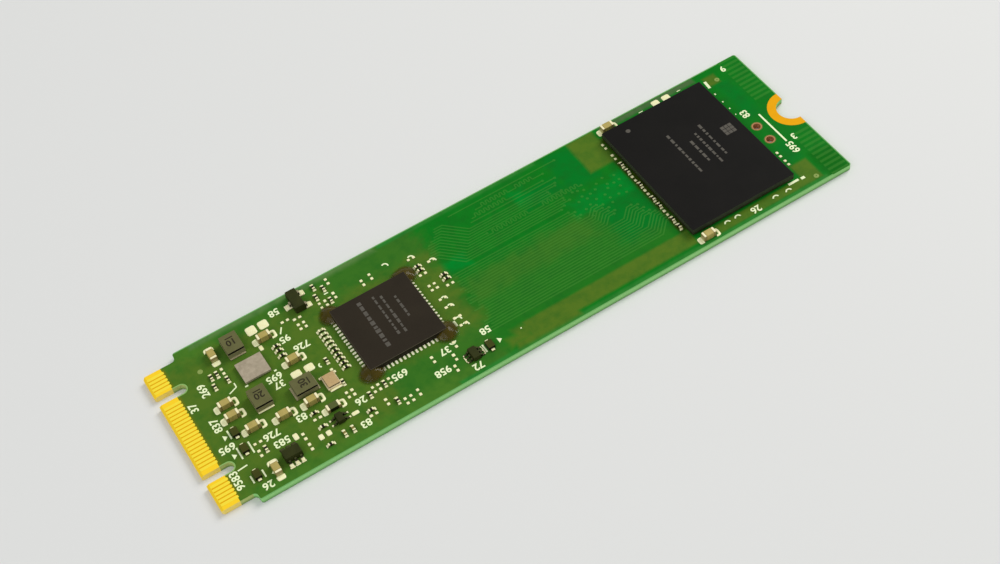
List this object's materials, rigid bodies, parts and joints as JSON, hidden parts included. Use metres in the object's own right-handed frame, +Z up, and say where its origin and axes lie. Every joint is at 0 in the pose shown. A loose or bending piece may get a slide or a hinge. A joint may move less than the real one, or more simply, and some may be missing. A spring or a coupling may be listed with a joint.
{
  "type": "solid state drive card",
  "caption": "Flat keyed solid state drive card: a green circuit board with gold edge contacts, memory and controller packages, small parts and a half-round mounting notch.",
  "frame": {"origin": "centre of the board's flat underside", "axes": "+X along the board from the edge contacts to the mounting notch, +Y across it towards the wider-spaced key's side, +Z up out of the component side"},
  "size_m": [0.08, 0.022, 0.0019],
  "materials": {
    "solder_mask": "glossy green solder mask over laminate and copper",
    "gold_plate": "gold plate on copper",
    "bare_copper": "plated copper",
    "chip_mould": "fine matt epoxy mould",
    "carrier_laminate": "sawn laminate edge",
    "silicon": "ground back of a bare die",
    "epoxy_glue": "glossy amber glue",
    "inductor_core": "pressed metal powder",
    "crystal_ceramic": "metallised rim on ceramic",
    "crystal_lid": "dull plated lid",
    "capacitor_ceramic": "fired ceramic",
    "dark_ceramic": "dark glaze",
    "tin": "bright tin and solder"
  },
  "bodies": {
    "root": {"bead_body": "dark_ceramic", "bead_ends": "tin", "board": "solder_mask", "bottom_edge_contacts": "gold_plate", "capacitor_10_body": "capacitor_ceramic", "capacitor_10_ends": "tin", "capacitor_11_body": "capacitor_ceramic", "capacitor_11_ends": "tin", "capacitor_1_body": "capacitor_ceramic", "capacitor_1_ends": "tin", "capacitor_2_body": "capacitor_ceramic", "capacitor_2_ends": "tin", "capacitor_3_body": "capacitor_ceramic", "capacitor_3_ends": "tin", "capacitor_4_body": "capacitor_ceramic", "capacitor_4_ends": "tin", "capacitor_5_body": "capacitor_ceramic", "capacitor_5_ends": "tin", "capacitor_6_body": "capacitor_ceramic", "capacitor_6_ends": "tin", "capacitor_7_body": "capacitor_ceramic", "capacitor_7_ends": "tin", "capacitor_8_body": "capacitor_ceramic", "capacitor_8_ends": "tin", "capacitor_9_body": "capacitor_ceramic", "capacitor_9_ends": "tin", "controller_body": "chip_mould", "controller_corner_bonds": "epoxy_glue", "controller_lead_frame": "tin", "crystal_base": "crystal_ceramic", "crystal_lid": "crystal_lid", "diode_bodies": "chip_mould", "diode_feet": "tin", "gate_chip_body": "chip_mould", "gate_chip_leads": "tin", "inductor_1_core": "inductor_core", "inductor_1_feet": "tin", "inductor_2_core": "inductor_core", "inductor_2_feet": "tin", "inductor_3_core": "inductor_core", "inductor_3_feet": "tin", "jumper_eyelets": "bare_copper", "memory_balls": "tin", "memory_mould": "chip_mould", "memory_substrate": "carrier_laminate", "monitor_chip_body": "chip_mould", "monitor_chip_leads": "tin", "mount_ground_rings": "gold_plate", "power_chip_balls": "tin", "power_chip_die": "silicon", "regulator_body": "chip_mould", "regulator_leads": "tin", "small_chip_bodies": "dark_ceramic", "small_chip_ends": "tin", "solder_fillets": "tin", "tinned_pads": "tin", "top_edge_contacts": "gold_plate", "transistor_body": "chip_mould", "transistor_leads": "tin"}
  },
  "joints": []
}
